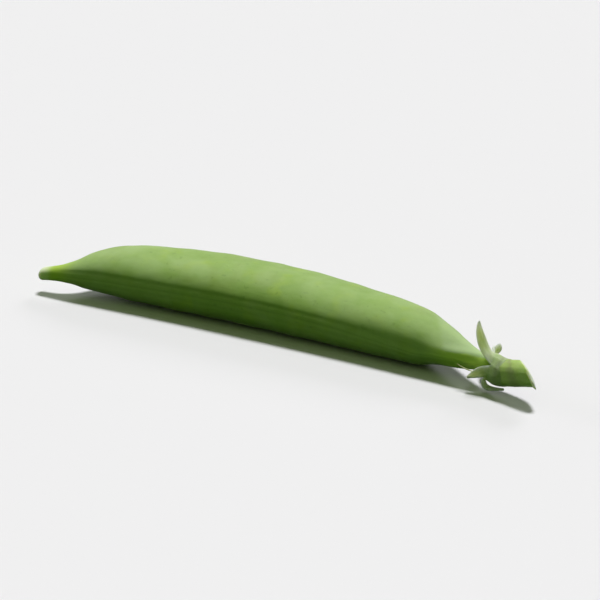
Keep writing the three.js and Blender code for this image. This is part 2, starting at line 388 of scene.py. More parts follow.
# %% The pod's tree
def build_pod_tree():
    lengths = [
        "Length", "Height", "Thickness", "Seam Bow", "Beak Droop", "Belly Sag", "End Rounding",
        "Seam Half Width", "Seam Rise", "Groove Depth", "Slit Depth", "Pea Swell",
    ]
    inputs = {"Start": "Vector", **dict.fromkeys(lengths, "Float"), "Pea Count": "Int", "Seed": "Int"}
    inputs |= {"Rings": "Int", "Sides": "Int", "Skin": "Material"}
    tree, size = new_tree("Pea pod", "GeometryNodeTree", inputs, {"Geometry": "Geometry"})
    counts = {"Size X": 1.0, "Size Y": 1.0, "Vertices X": size["Rings"], "Vertices Y": size["Sides"]}
    grid = Wire(add_node(tree, "GeometryNodeMeshGrid", counts))
    grid_x, grid_y, _ = Wire(add_node(tree, "GeometryNodeInputPosition")).parts()

    # Along the pod from 0 to 1, crowded at both ends, and round it from the seam at 0, crowded there.
    even = grid_x + 0.5
    share = even - (even * 2 * math.pi).math("SINE") * END_CROWDING
    turn = grid_y * 2 * math.pi
    turn = turn - turn.math("SINE") * SEAM_CROWDING
    round_it = turn + seam_roll(share)

    along = share * size["Length"]
    from_end = along.math("MINIMUM", size["Length"] - along)
    nearness = (1 - from_end / size["End Rounding"]).math("MAXIMUM", 0)
    rounding = (1 - nearness * nearness).math("MAXIMUM", 0).math("SQRT")
    half_depth = curve_of(share, DEPTH_PROFILE) * size["Height"] / 2
    half_thick = curve_of(share, THICKNESS_PROFILE) * size["Thickness"] / 2
    bow = share * (1 - share) * size["Seam Bow"] * 4
    droop = (1 - share / BEAK_DROOP_SHARE).math("MAXIMUM", 0) ** 2 * size["Beak Droop"]
    sag = ((size["Thickness"] / 2 - half_thick) / size["Belly Sag"]).math("TANH") * size["Belly Sag"]

    # Along the middle the section is fuller than an ellipse, and towards the neck it becomes a lens.
    depth = half_depth * rounding
    thick = half_thick * rounding
    sine = round_it.math("SINE")
    cosine = round_it.math("COSINE")
    power = MIDDLE_POWER + smooth_step(share, 0.82, 0.92) * (NECK_POWER - MIDDLE_POWER)
    side = sine.math("SIGN") * abs(sine) ** power
    plain = vector_of(along, bow + half_depth - depth * cosine, thick * side - droop - sag) + size["Start"]
    outward = vector_of(0.0, -(thick * cosine), depth * sine).unit()

    full = smooth_step(share, 0.02, 0.09) * (1 - smooth_step(share, 0.95, 0.995))
    from_seam = turn * half_thick
    from_back = (math.pi - abs(turn)) * half_thick
    height, swell = pod_relief(size, share, round_it, plain, from_seam, from_back, full)
    x, y, z = (plain + outward * height).parts()
    # The belly is pressed level where it lies on the table.
    settled = vector_of(x, y, z.math("SMOOTH_MAX", 0.0, REST_SOFTNESS))

    surface = store(grid, "share", share)
    surface = store(surface, "from_seam", abs(from_seam) / MM)
    surface = store(surface, "swell", swell)
    shaped = Wire(add_node(tree, "GeometryNodeSetPosition", {"Geometry": surface, "Position": settled}))
    closed = Wire(add_node(tree, "GeometryNodeMergeByDistance", {"Geometry": shaped, "Distance": 0.002 * MM}))
    return finish_tree(tree, {"Geometry": dressed(closed, size["Skin"])})


POD_TREE = build_pod_tree()

# %% [markdown]
# ## Effects that several materials share
# Plant tissue is never one green. Two effects come back on the skin, the calyx and the stem, so each is a
# shader node group, built once and placed with its own sizes: blotches, where more or less green shows
# through, and grain, the fine cell pattern that breaks up a highlight.


# %% Shared shader groups
def build_blotches():
    """Soft blotches between 0 and 1, with smaller ones inside larger ones."""
    inputs = {"Vector": "Vector", "Size": "Float", "Contrast": "Float"}
    tree, given = new_tree("Blotches", "ShaderNodeTree", inputs, {"Mask": "Float"})
    place = given["Vector"] * (1.0 / given["Size"])
    large = noise(place, 1.0, 3.0, 0.55, 0.4)
    small = noise(place, 0.31, 2.0)
    mixed = large * 0.7 + small * 0.3
    mask = clamp((mixed - 0.5) * given["Contrast"] + 0.5)
    return finish_tree(tree, {"Mask": mask})


def build_grain():
    """Close-set cells, as a height for a bump."""
    inputs = {"Vector": "Vector", "Size": "Float"}
    tree, given = new_tree("Cell grain", "ShaderNodeTree", inputs, {"Height": "Float"})
    place = given["Vector"] * (1.0 / given["Size"])
    cells = Wire(add_node(tree, "ShaderNodeTexVoronoi", {"Vector": place, "Scale": 1.0}, feature="SMOOTH_F1"))
    rough = noise(place, 2.2, 3.0)
    return finish_tree(tree, {"Height": cells * -0.6 + rough})


BLOTCHES = build_blotches()
GRAIN = build_grain()


# %% Material helpers
def rgb(hexadecimal):
    """A colour written as on a paint card, in the linear values that shaders use."""
    parts = [int(hexadecimal[at:at + 2], 16) / 255 for at in (0, 2, 4)]
    linear = [part / 12.92 if part <= 0.04045 else ((part + 0.055) / 1.055) ** 2.4 for part in parts]
    return (*linear, 1.0)


def new_material(name, **surface):
    """A material with one Principled shader, whose constants are set on its own sockets."""
    material = bpy.data.materials.new(name)
    material.use_nodes = True
    shader = material.node_tree.nodes["Principled BSDF"]
    for label, value in surface.items():
        shader.inputs[label.replace("_", " ")].default_value = value
    print("material", name)
    return material, shader


def place_of(material):
    """The point's place in the object's own coordinates."""
    return Wire(add_node(material.node_tree, "ShaderNodeTexCoord"), "Object")


def attribute(material, name):
    """A value that the piece's tree stored on its points."""
    node = add_node(material.node_tree, "ShaderNodeAttribute", attribute_type="GEOMETRY", attribute_name=name)
    return Wire(node, "Fac")


def group(material, tree, output, **inputs):
    """A shared group in this material, with its own values, and a wire from one of its outputs."""
    node = add_node(material.node_tree, "ShaderNodeGroup", node_tree=tree)
    for label, value in inputs.items():
        if isinstance(value, Wire):
            material.node_tree.links.new(value.socket, node.inputs[label])
        else:
            node.inputs[label].default_value = value
    return Wire(node, output)


def blend(mask, under, over):
    """One colour over another, as far as the mask says. A colour is a wire or a paint."""
    # A Mix node's sockets 6 and 7 are its two colours, and its output 2 is the mixed one.
    inputs = {"Factor": mask, 6: under, 7: over}
    return Wire(add_node(mask.tree, "ShaderNodeMix", inputs, data_type="RGBA"), 2)


def join_shader(shader, **inputs):
    for label, wire in inputs.items():
        shader.id_data.links.new(wire.socket, shader.inputs[label.replace("_", " ")])


def bumped(height, distance, strength=1.0):
    inputs = {"Height": height, "Distance": distance, "Strength": strength}
    return Wire(add_node(height.tree, "ShaderNodeBump", inputs), "Normal")


# %% [markdown]
# ## The pod's skin
# The skin is a clear green under a thin veil of wax. Where the wax is whole the green looks pale and a
# little milky, and where a finger has rubbed it off the pod is darker and glossier. Over each pea the skin
# is stretched and yellower, and the green between drifts from young yellow-green to olive, with a few dark
# specks. Pale threads of veins run slantwise from the seam towards the back. The beak is yellow-green and
# ends in a pale dried tip. Towards the neck the wax is thick, and stops at a clear edge beside the seam,
# where the skin is the bare yellow-green of a stalk.
#
# The places along and round the pod were stored by its tree, so a pattern can follow the surface: the share
# of the length, and the distance from the seam in millimetres. Everything that isn't tied to the seam reads
# the object's own coordinates.


# %% The skin
def build_skin():
    skin, shader = new_material(
        "pod_skin", Subsurface_Weight=0.12, Subsurface_Radius=(0.8, 1.0, 0.25), Subsurface_Scale=1.2 * MM,
        IOR=1.4, Specular_IOR_Level=0.3, Sheen_Weight=0.22, Sheen_Roughness=0.4,
    )
    place = place_of(skin)
    share = attribute(skin, "share")
    from_seam = attribute(skin, "from_seam")
    swell = attribute(skin, "swell")
    cloud = group(skin, BLOTCHES, "Mask", Vector=place, Size=8 * MM, Contrast=2.6)
    fleck = group(skin, BLOTCHES, "Mask", Vector=place, Size=2.6 * MM, Contrast=2.2)
    wax = group(skin, BLOTCHES, "Mask", Vector=place, Size=11 * MM, Contrast=3.0)
    grain = group(skin, GRAIN, "Height", Vector=place, Size=0.22 * MM)

    # The greens, from the widest patches to the smallest specks.
    colour = blend(cloud, rgb("88ab4c"), rgb("a2c06c"))
    colour = blend(fleck * 0.65, colour, rgb("84a646"))
    colour = blend(swell * 0.25, colour, rgb("a2be62"))
    young = smooth_step(noise(place, 4.4 * MM, 2.0), 0.52, 0.7)
    colour = blend(young * 0.7, colour, rgb("9cb944"))
    olive = smooth_step(noise(place, 6.3 * MM, 2.0), 0.45, 0.62)
    colour = blend(olive * 0.35, colour, rgb("90a652"))
    speck = smooth_step(noise(place, 0.9 * MM, 1.0), 0.66, 0.74)
    colour = blend(speck * 0.35, colour, rgb("6b8c38"))
    # Thin, broken streaks run along the seam's flanks.
    length = POD_LENGTH / MM
    lengthwise = vector_of(share * length / 7, from_seam / 0.35, 0.0)
    streak = smooth_step(noise(lengthwise, 1.0, 2.0), 0.55, 0.75) * bell(from_seam - 2.2, 1.1)
    colour = blend(streak * 0.3, colour, rgb("6f9438"))

    # Veins leave the seam at a slant and join into a net.
    slant = vector_of(share * length / 2.6 + from_seam / 4.4, from_seam / 4.1, 0.0) + place * (0.45 / MM)
    cells = add_node(skin.node_tree, "ShaderNodeTexVoronoi", {"Vector": slant}, feature="DISTANCE_TO_EDGE")
    net = Wire(cells)
    vein = (1 - smooth_step(net, 0.0, 0.08)) * smooth_step(from_seam, 0.9, 2.4)
    colour = blend(vein * 0.05, colour, rgb("b9cf8c"))

    # The veil of wax, thickest at the two ends.
    pale_ends = smooth_step(share, 0.84, 0.9) * 0.45 + (1 - smooth_step(share, 0.1, 0.22)) * 0.25
    veil = smooth_step(wax, 0.3, 0.8) * 0.35 + fleck * 0.12 + pale_ends
    colour = blend(veil, colour, rgb("b2ca8c"))

    # Painted highlight and painted shade: the seam is painted paler on its ridge, where the light catches it,
    # and darker in its slit and its grooves, where shade falls.
    ridge = 1 - smooth_step(from_seam, 0.3, 0.6)
    painted_groove_shade = bell(from_seam - 0.8, 0.3)
    slit = bell(from_seam, 0.1)
    colour = blend(ridge * 0.08, colour, rgb("a8c478"))
    colour = blend(painted_groove_shade * 0.12 + slit * 0.2, colour, rgb("4f7420"))

    # The neck has a thick coat of wax with a clear edge, and its seam's side is bare and yellow-green.
    coat = smooth_step(share + from_seam * 0.008 + cloud * 0.01, 0.905, 0.922)
    coat = coat * (1 - smooth_step(from_seam, 2.5, 4.5) * 0.5)
    colour = blend(coat * 0.45, colour, rgb("bed4a6"))
    bare = smooth_step(share, 0.84, 0.92) * (1 - smooth_step(from_seam + cloud * 0.4, 1.8, 2.2))
    colour = blend(bare * 0.9, colour, rgb("cdea6c"))
    beak = 1 - smooth_step(share, 0.04, 0.085)
    colour = blend(beak * 0.8, colour, rgb("b4d444"))
    tip = 1 - smooth_step(share, 0.01, 0.035)
    colour = blend(tip * 0.9, colour, rgb("eef6d4"))

    rough = 0.56 + veil * 0.25
    relief = grain * 0.35 + vein * 0.2 + fleck * 1.8
    join_shader(shader, Base_Color=colour, Roughness=rough, Normal=bumped(relief, 0.02 * MM, 0.6))
    return skin


POD_SKIN = build_skin()

# %% [markdown]
# ## Grow the pod
# The tree now gets its sizes, and grows the piece. The seed was chosen for a row of peas that looks natural,
# with a weak one near the beak.

# %% The pod
pod = grow("pea_pod", POD_TREE, {
    "Start": POD_START, "Length": POD_LENGTH, "Height": POD_HEIGHT, "Thickness": POD_THICKNESS,
    "Seam Bow": SEAM_BOW, "Beak Droop": BEAK_DROOP, "Belly Sag": BELLY_SAG, "End Rounding": END_ROUNDING,
    "Seam Half Width": SEAM_HALF_WIDTH, "Seam Rise": SEAM_RISE, "Groove Depth": GROOVE_DEPTH,
    "Slit Depth": SLIT_DEPTH, "Pea Swell": PEA_SWELL, "Pea Count": PEA_COUNT, "Seed": 4,
    "Rings": 420, "Sides": 180, "Skin": POD_SKIN,
})
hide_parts("pod")
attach(pod, "root")

# %% [markdown]
# ## The calyx
# The calyx is the green cup that held the flower. It is one leafy piece: a bell round the pod's neck that
# splits at its rim into five narrow sepals, which curl as they dry. Made as a cup with five leaves stuck
# on, it would show five joints that the real one doesn't have. So one tree makes a fifth of it, from the
# foot of the cup to the tip of a sepal, as a single strip. The tree is used five times with different
# curls, and the strips are welded where they meet. A sepal's midrib shows as a keel down the cup, and as a
# channel along the sepal.

# %% Measures of the calyx
MOUTH_SHARE = 0.978
CUP_RADIUS = 2.35 * MM
CUP_DEPTH = 5 * MM
RIM_SLANT = 2.2 * MM
RIM_SHORT_TURN = math.radians(85)
SEPAL_TURN = math.radians(36)
KEEL = 0.14 * MM
LEAF_THICKNESS = 0.36 * MM

# The cup's radius from its rim to its foot, and a sepal's width from its foot to its tip, as shares.
CUP_PROFILE = [(0, 0.94), (0.15, 0.97), (0.35, 1), (0.55, 1), (0.75, 0.978), (0.9, 0.935), (1, 0.8)]
SEPAL_WIDTHS = [(0, 1), (0.1, 0.92), (0.25, 0.84), (0.5, 0.7), (0.75, 0.47), (0.92, 0.27), (1, 0.14)]

# Where each sepal grows on the rim, in degrees from straight up towards the seam side; three points after
# its foot, in millimetres towards the beak, outwards and sideways; and how far it twists, in degrees.
SEPALS = [
    (20, [(1.7, 1.3, -0.1), (2.8, 3.6, -0.5), (2.7, 5.5, -1)], -65),
    (92, [(1.4, 0.4, 0.4), (2.2, 0.8, 0.9), (3, 1.3, 1.45)], -10),
    (164, [(0.5, 0.65, 0), (-1.0, 1.25, 0), (-3.7, 0.5, 0)], 12),
    (236, [(1.8, 1.2, 0), (2.7, 2.8, 0.2), (2.9, 4.5, 0.8)], -30),
    (308, [(-0.3, 0.6, 0), (-0.4, 1.3, 0.1), (0.1, 2.0, 0.2)], -60),
]


def read_off(pairs, at):
    """The height of a row of pairs at a place, by straight lines between them."""
    for (low, height), (high, next_height) in zip(pairs, pairs[1:]):
        if at <= high:
            return height + (next_height - height) * (at - low) / (high - low)
    return pairs[-1][1]


def pod_middle(share):
    """The middle of the pod's section near its neck, where its belly no longer touches the table."""
    half_depth = read_off(DEPTH_PROFILE, share) * POD_HEIGHT / 2
    bow = 4 * SEAM_BOW * share * (1 - share)
    return POD_START + Vector((share * POD_LENGTH, bow + half_depth, -BELLY_SAG))


MOUTH = pod_middle(MOUTH_SHARE)
AXIS = (pod_middle(1) - pod_middle(MOUTH_SHARE - 0.01)).normalized()
UP = Vector((0, 0, 1))
SEAMWARD = AXIS.cross(UP)
print("the calyx opens at", [round(part / MM, 2) for part in MOUTH], "mm")

# %% [markdown]
# ## One line for the cup and the stem
# The cup tapers into the stem with no step, so both are swept along the same line. It starts at the calyx
# mouth, sags a little under the cup and rises to the broken end. The points are in the calyx's own
# directions: along its axis, down, and towards the seam.


# %% The stalk's line
def drawn_line(name, points):
    """A smooth curve through points, as the data that a tree starts from."""
    line = bpy.data.curves.new(name, "CURVE")
    line.dimensions = "3D"
    spline = line.splines.new("BEZIER")
    spline.bezier_points.add(len(points) - 1)
    for knot, point in zip(spline.bezier_points, points):
        knot.co = point
        knot.handle_left_type = "AUTO"
        knot.handle_right_type = "AUTO"
    spline.resolution_u = 24
    return line


STALK_POINTS = [(0, 0.1, 0), (1.2, 0.35, 0), (3.3, 0.7, 0), (5.3, 0.35, 0), (7, -0.1, 0.05), (8.7, -0.5, 0.1)]
STALK_LINE = drawn_line("stalk_line", [
    MOUTH + (AXIS * along - UP * down + SEAMWARD * to_seam) * MM for along, down, to_seam in STALK_POINTS
])


# %% [markdown]
# ## From a flat strip to a sepal
# A sepal could be drawn by hand, point by point, but each of the five would then have to be drawn. Here a
# flat grid is bent by formulas, and five sets of sizes give five sepals. The first part of the grid's
# length becomes the cup: rings round the stalk's line, slanted so that one side of the rim lies further
# back. The rest becomes the sepal: strips across a curve that three points pull out of the rim. Each strip
# is a shallow arc. The strips narrow and twist towards the tip.


# %% A fifth of the calyx
def build_sepal_tree():
    """A strip from the cup's foot to a sepal's tip, bent from a flat grid with the rim part way along it."""
    lengths = ["Cup Radius", "Cup Depth", "Rim Slant", "Short Turn", "Turn", "Twist", "Keel"]
    inputs = {"Stalk": "Geometry", "Axis": "Vector", **dict.fromkeys(lengths, "Float")}
    inputs |= {"Path 1": "Vector", "Path 2": "Vector", "Path 3": "Vector", "Across": "Int", "Along": "Int"}
    tree, size = new_tree("Fifth of a calyx", "GeometryNodeTree", inputs, {"Geometry": "Geometry"})
    counts = {"Size X": 2.0, "Size Y": 1.0, "Vertices X": size["Across"], "Vertices Y": size["Along"]}
    grid = Wire(add_node(tree, "GeometryNodeMeshGrid", counts))
    over, run, _ = Wire(add_node(tree, "GeometryNodeInputPosition")).parts()
    run = run + 0.5
    cup_share = 0.4
    up_cup = clamp(run / cup_share)
    reach = clamp((run - cup_share) / (1 - cup_share))

    def ring_at(distance):
        """The stalk's middle at a distance along it, the way it runs on, and the ring's own up and side."""
        inputs = {"Curves": size["Stalk"], "Length": distance}
        sampled = add_node(tree, "GeometryNodeSampleCurve", inputs, mode="LENGTH")
        ahead = Wire(sampled, "Tangent")
        rise = (ahead * -ahead.dot(UP) + UP).unit()
        return Wire(sampled, "Position"), ahead, rise, ahead.cross(rise)

    def rim(turn):
        """How far back from the mouth the slanted rim lies on this side."""
        return ((turn - size["Short Turn"]).math("COSINE") + 1) / 2 * size["Rim Slant"]

    def outward(turn, rise, side):
        """The direction away from the stalk at this turn, from straight up towards the seam side."""
        return rise * turn.math("COSINE") + side * turn.math("SINE")

    # The cup: rings round the stalk, slanted towards the rim.
    turn = size["Turn"] + over * SEPAL_TURN
    depth = 1 - up_cup
    centre, ahead, rise, side = ring_at(depth * size["Cup Depth"])
    keel = bell(over, 0.16) * size["Keel"] + bell(1 - abs(over), 0.12) * size["Keel"] * 0.6
    keel_here = keel * smooth_step(up_cup, 0.2, 0.6)
    radius = curve_of(depth, CUP_PROFILE) * size["Cup Radius"] + keel_here
    cup = centre + ahead * (rim(turn) * up_cup) + outward(turn, rise, side) * radius

    # The sepal: strips across a curve that starts on the rim.
    centre, rim_ahead, rise, side = ring_at(0.0)
    rim_out = outward(size["Turn"], rise, side)
    rim_side = rim_ahead.cross(rim_out)
    rim_radius = size["Cup Radius"] * CUP_PROFILE[0][1]
    foot = centre + rim_ahead * rim(size["Turn"]) + rim_out * rim_radius
    axis = size["Axis"]
    # The plain upward direction as a wire, since a sum needs a wire on its left.
    upright = axis * 0.0 + UP
    out = outward(size["Turn"], upright, axis.cross(upright))
    sideways = axis.cross(out)

    def along_path(name):
        beakward, outwards, aside = size[name].parts()
        return foot - axis * beakward + out * outwards + sideways * aside

    handles = {"Start": foot, "Start Handle": along_path("Path 1"), "Resolution": 48}
    handles |= {"End Handle": along_path("Path 2"), "End": along_path("Path 3")}
    line = Wire(add_node(tree, "GeometryNodeCurvePrimitiveBezierSegment", handles, mode="POSITION"))
    sampled = add_node(tree, "GeometryNodeSampleCurve", {"Curves": line, "Factor": reach}, mode="FACTOR")
    on_line = Wire(sampled, "Position")
    ahead = Wire(sampled, "Tangent")
    width = (sideways - ahead * ahead.dot(sideways)).unit()
    face = ahead.cross(width)
    twist = size["Twist"] * reach
    turned = width * twist.math("COSINE") + face * twist.math("SINE")
    face = face * twist.math("COSINE") - width * twist.math("SINE")
    # Its first strips keep to the cup's own round, so that the two run into each other.
    free = smooth_step(reach, 0.0, 0.3)
    width = rim_side * (1 - free) + turned * free
    face = rim_out * (1 - free) + face * free
    half = curve_of(reach, SEPAL_WIDTHS) * rim_radius
    arc = over * SEPAL_TURN
    ripple = (reach * 9 + size["Turn"] * 5).math("SINE") * over * over * reach * 0.1 * MM
    sunk = (arc.math("COSINE") - 1) * half * (1 + free * 0.35)
    slant = rim_ahead * ((rim(turn) - rim(size["Turn"])) * (1 - reach) ** 3)
    # The keel fades from the cup, and along the sepal there is a channel in its place.
    sepal_keel = bell(over, 0.3) * size["Keel"] * (1 - smooth_step(reach, 0.0, 0.25) * 1.7)
    sepal = on_line + width * (arc.math("SINE") * half) + face * (sunk + ripple + sepal_keel) + slant

    # Each point takes the cup's shape or the sepal's.
    on_cup = reach.math("COMPARE", 0.0, 0.001)
    shape = sepal * (1 - on_cup) + cup * on_cup
    surface = store(store(grid, "across", abs(over)), "reach", run)
    shaped = Wire(add_node(tree, "GeometryNodeSetPosition", {"Geometry": surface, "Position": shape}))
    return finish_tree(tree, {"Geometry": shaped})


# %% The whole calyx
def build_calyx_tree(sepal_tree):
    """Five sepals round one cup, welded where they meet."""
    inputs = {"Stalk": "Geometry", "Skin": "Material"}
    tree, size = new_tree("Calyx", "GeometryNodeTree", inputs, {"Geometry": "Geometry"})
    gather = tree.nodes.new("GeometryNodeJoinGeometry")
    common = {
        "Axis": AXIS, "Cup Radius": CUP_RADIUS, "Cup Depth": CUP_DEPTH, "Rim Slant": RIM_SLANT,
        "Short Turn": RIM_SHORT_TURN, "Keel": KEEL, "Across": 11, "Along": 30,
    }
    for turn, path, twist in SEPALS:
        node = add_node(tree, "GeometryNodeGroup", {"Stalk": size["Stalk"]}, node_tree=sepal_tree)
        values = {**common, "Turn": math.radians(turn), "Twist": math.radians(twist)}
        values |= {f"Path {at}": Vector(point) * MM for at, point in enumerate(path, start=1)}
        for label, value in values.items():
            node.inputs[label].default_value = value
        tree.links.new(node.outputs[0], gather.inputs[0])
    joined = {"Geometry": Wire(gather), "Distance": 0.01 * MM}
    welded = Wire(add_node(tree, "GeometryNodeMergeByDistance", joined))
    # The grid's faces look into the cup. Turned over, they face outwards.
    facing_out = Wire(add_node(tree, "GeometryNodeFlipFaces", {"Mesh": welded}))
    return finish_tree(tree, {"Geometry": dressed(facing_out, size["Skin"])})


CALYX_TREE = build_calyx_tree(build_sepal_tree())


# %% [markdown]
# ## The calyx's finish
# The calyx is a dull grey-green leaf. Its cup is duller still round the middle, and fine veins run out to
# the tips. The sepals are painted much paler than the cup, brightest at their edges and tips: painted light
# for the light that falls on them and shines through them. It is also thin, so that light from behind shows
# through it. A transparent shader would let the light through unsoftened. The leaf has a real thickness,
# so a strong subsurface value does it better: the light goes in at the back and comes out in front, spread
# a little.


# %% The calyx's material
def build_calyx_skin():
    leaf, shader = new_material(
        "calyx", Subsurface_Weight=0.9, Subsurface_Radius=(1.0, 1.0, 0.65), Subsurface_Scale=2.4 * MM,
        IOR=1.4, Sheen_Weight=0.2, Sheen_Roughness=0.5,
    )
    place = place_of(leaf)
    across = attribute(leaf, "across")
    run = attribute(leaf, "reach")
    cloud = group(leaf, BLOTCHES, "Mask", Vector=place, Size=1.8 * MM, Contrast=2.8)
    fleck = group(leaf, BLOTCHES, "Mask", Vector=place, Size=0.6 * MM, Contrast=2.6)
    grain = group(leaf, GRAIN, "Height", Vector=place, Size=0.11 * MM)
    colour = blend(cloud, rgb("9cb86c"), rgb("b2ca8c"))
    colour = blend(fleck * 0.4, colour, rgb("bccca4"))

    # The cup's dull middle, and fine veins that run from foot to tip.
    dull = bell(run - 0.2, 0.07) * (0.4 + cloud * 0.6)
    colour = blend(dull * 0.7, colour, rgb("8a9070"))
    fan = (abs(across) * 5.5 * 2 * math.pi + fleck * 1.5).math("COSINE")
    vein = smooth_step(fan, 0.55, 0.98)
    colour = blend(vein * 0.15, colour, rgb("c3d49e"))

    # Painted light: a sepal is painted much paler than the cup, most of all at its edges and its tip, for
    # the light that falls on it and shines through it.
    free = smooth_step(run, 0.36, 0.5)
    colour = blend(free * 0.85, colour, rgb("ebf6cc"))
    channel = bell(across, 0.3) * free
    colour = blend(channel * 0.4, colour, rgb("a6c46c"))
    painted_margin_highlight = smooth_step(abs(across), 0.55, 0.9) * free
    colour = blend(painted_margin_highlight * 0.85, colour, rgb("f0f8dc"))
    tip = smooth_step(run, 0.82, 0.97)
    colour = blend(tip * 0.85, colour, rgb("eef4dc"))

    relief = grain * 0.5 + vein * 0.2 + fleck * 0.8
    rough = 0.62 + fleck * 0.2
    join_shader(shader, Base_Color=colour, Roughness=rough, Normal=bumped(relief, 0.035 * MM, 0.8))
    return leaf


# %% [markdown]
# ## Thickness for the calyx
# The welded strips are a surface with no thickness. Solidify gives it the leaf's own thickness, inwards
# from the outside that was drawn, and closes the edges. A Subdivision Surface then rounds those edges,
# which a leaf never has sharp.

# %% The calyx
calyx = grow("calyx", CALYX_TREE, {"Skin": build_calyx_skin()}, STALK_LINE)
leaf_thickness = calyx.modifiers.new("Leaf thickness", "SOLIDIFY")
leaf_thickness.thickness = LEAF_THICKNESS
leaf_thickness.offset = -1
leaf_thickness.use_even_offset = True
soft_edges = calyx.modifiers.new("Soft edges", "SUBSURF")
soft_edges.levels = 2
soft_edges.render_levels = 2
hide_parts("calyx_cup", "sepal_top", "sepal_front", "sepal_under", "sepal_back", "sepal_back_top")
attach(calyx, "root")

# %% [markdown]
# ## The stem and the withered threads
# The stem runs on almost straight from the cup's foot, and ends where it was broken off the vine, in a
# slanted face with a pale lip. Two dried threads, left from the flower's stamens, come out of the cup's
# mouth beside the neck. All three are round stalks along a line, so one tree makes them: it thickens a
# given curve by a profile, cuts shallow furrows along it and roughens its end.


# %% The stalk tree
def build_stalk_tree():
    lengths = ["Radius", "End Radius", "Furrow Depth", "Wander", "Ragged", "Slant", "Fibre"]
    inputs = {"Geometry": "Geometry", "Start": "Float", **dict.fromkeys(lengths, "Float")}
    inputs |= {"Furrows": "Float", "Outer Side": "Vector", "Hook": "Vector"}
    inputs |= {"Steps": "Int", "Sides": "Int", "Skin": "Material"}
    tree, size = new_tree("Stalk along a line", "GeometryNodeTree", inputs, {"Geometry": "Geometry"})
    trimmed = add_node(tree, "GeometryNodeTrimCurve", {"Curve": size["Geometry"], "Start": size["Start"]})
    steps = {"Curve": Wire(trimmed), "Count": size["Steps"]}
    line = Wire(add_node(tree, "GeometryNodeResampleCurve", steps, mode="COUNT"))
    run = Wire(add_node(tree, "GeometryNodeSplineParameter"), "Factor")
    here = Wire(add_node(tree, "GeometryNodeInputPosition"))
    line = store(line, "run", run)
    line = store(line, "core", here, "FLOAT_VECTOR")
    line = store(line, "ahead", Wire(add_node(tree, "GeometryNodeInputTangent")), "FLOAT_VECTOR")
    taper = size["Radius"] + (size["End Radius"] - size["Radius"]) * run
    taper = taper * (0.85 + smooth_step(run, 0.0, 0.14) * 0.15)
    closing = (1 - ((run - 0.9) / 0.1).math("MAXIMUM", 0) ** 2.4).math("MAXIMUM", 0.0).math("SQRT") + 0.01
    counts = {"Resolution": size["Sides"], "Radius": 1.0}
    circle = Wire(add_node(tree, "GeometryNodeCurvePrimitiveCircle", counts))
    circle = store(circle, "around", abs(run * 2 - 1))
    sweep = {"Curve": line, "Profile Curve": circle, "Scale": taper * closing, "Fill Caps": True}
    tube = add_node(tree, "GeometryNodeCurveToMesh", sweep)

    radial = here - stored(tree, "core", "FLOAT_VECTOR")
    ahead = stored(tree, "ahead", "FLOAT_VECTOR")
    around = stored(tree, "around")
    reach = stored(tree, "run")
    furrows = (around * size["Furrows"] * math.pi).math("COSINE") * size["Furrow Depth"]
    wander = (noise(here, 1.6 * MM, 1.0) - 0.5) * size["Wander"]
    # The end is torn at a slant: longer on its outer side, where the last fibre to give stands out and bends
    # over in a small hook.
    leaning = radial.dot(size["Outer Side"]) / size["Radius"]
    uneven = (noise(radial, 0.5 * MM, 3.0) - 0.5) * size["Ragged"] * smooth_step(reach, 0.7, 0.94)
    tongue = smooth_step(leaning, 0.5, 0.78) * smooth_step(reach, 0.84, 0.95)
    onwards = leaning * size["Slant"] * reach + uneven + tongue * size["Fibre"]
    moved = radial.unit() * (furrows + wander) + ahead * onwards + size["Hook"] * tongue
    surface = store(Wire(tube), "leaning", leaning)
    shaped = Wire(add_node(tree, "GeometryNodeSetPosition", {"Geometry": surface, "Offset": moved}))
    return finish_tree(tree, {"Geometry": dressed(shaped, size["Skin"])})


STALK_TREE = build_stalk_tree()


# %% [markdown]
# ## The finish of the stem and the threads
# The stem is a fresher green than the calyx, streaked along its length, with a dull band just outside the
# cup. Its broken face is pale. The tree stored how far along and how far round each point lies, so the
# streaks and the break follow the stalk whichever way it bends. The threads are dry husk: cream, darker at
# the tip, and with hardly any shine.


# %% The stem's and the threads' materials
def build_stem_skin():
    bark, shader = new_material(
        "stem", Subsurface_Weight=0.5, Subsurface_Radius=(0.9, 1.0, 0.3), Subsurface_Scale=1.6 * MM,
        IOR=1.4, Sheen_Weight=0.15, Sheen_Roughness=0.5,
    )
    place = place_of(bark)
    run = attribute(bark, "run")
    around = attribute(bark, "around")
    cloud = group(bark, BLOTCHES, "Mask", Vector=place, Size=1.4 * MM, Contrast=2.4)
    grain = group(bark, GRAIN, "Height", Vector=place, Size=0.12 * MM)
    colour = blend(cloud, rgb("a4c25c"), rgb("b6cc7c"))
    streaks = (around * 15 * math.pi + cloud * 3).math("COSINE")
    colour = blend(smooth_step(streaks, 0.3, 1.0) * 0.2, colour, rgb("b9cc84"))
    dull = bell(run - 0.5 + cloud * 0.14, 0.1)
    colour = blend(dull * 0.55, colour, rgb("8f9468"))

    # The broken face is pale. The fibre on its longest side is painted nearly white: partly its own pale
    # torn tissue, partly a painted highlight.
    broken = smooth_step(run + cloud * 0.02, 0.88, 0.92)
    pale_fibre_and_highlight = smooth_step(run, 0.84, 0.88) * smooth_step(attribute(bark, "leaning"), 0.5, 0.7)
    colour = blend(broken * (0.65 + cloud * 0.3), colour, rgb("eaf2cc"))
    colour = blend(pale_fibre_and_highlight * 0.95, colour, rgb("fafcf0"))
    join_shader(
        shader, Base_Color=colour, Roughness=0.55 + broken * 0.3,
        Normal=bumped(grain * 0.5 + streaks * 0.4, 0.03 * MM, 0.7),
    )
    return bark


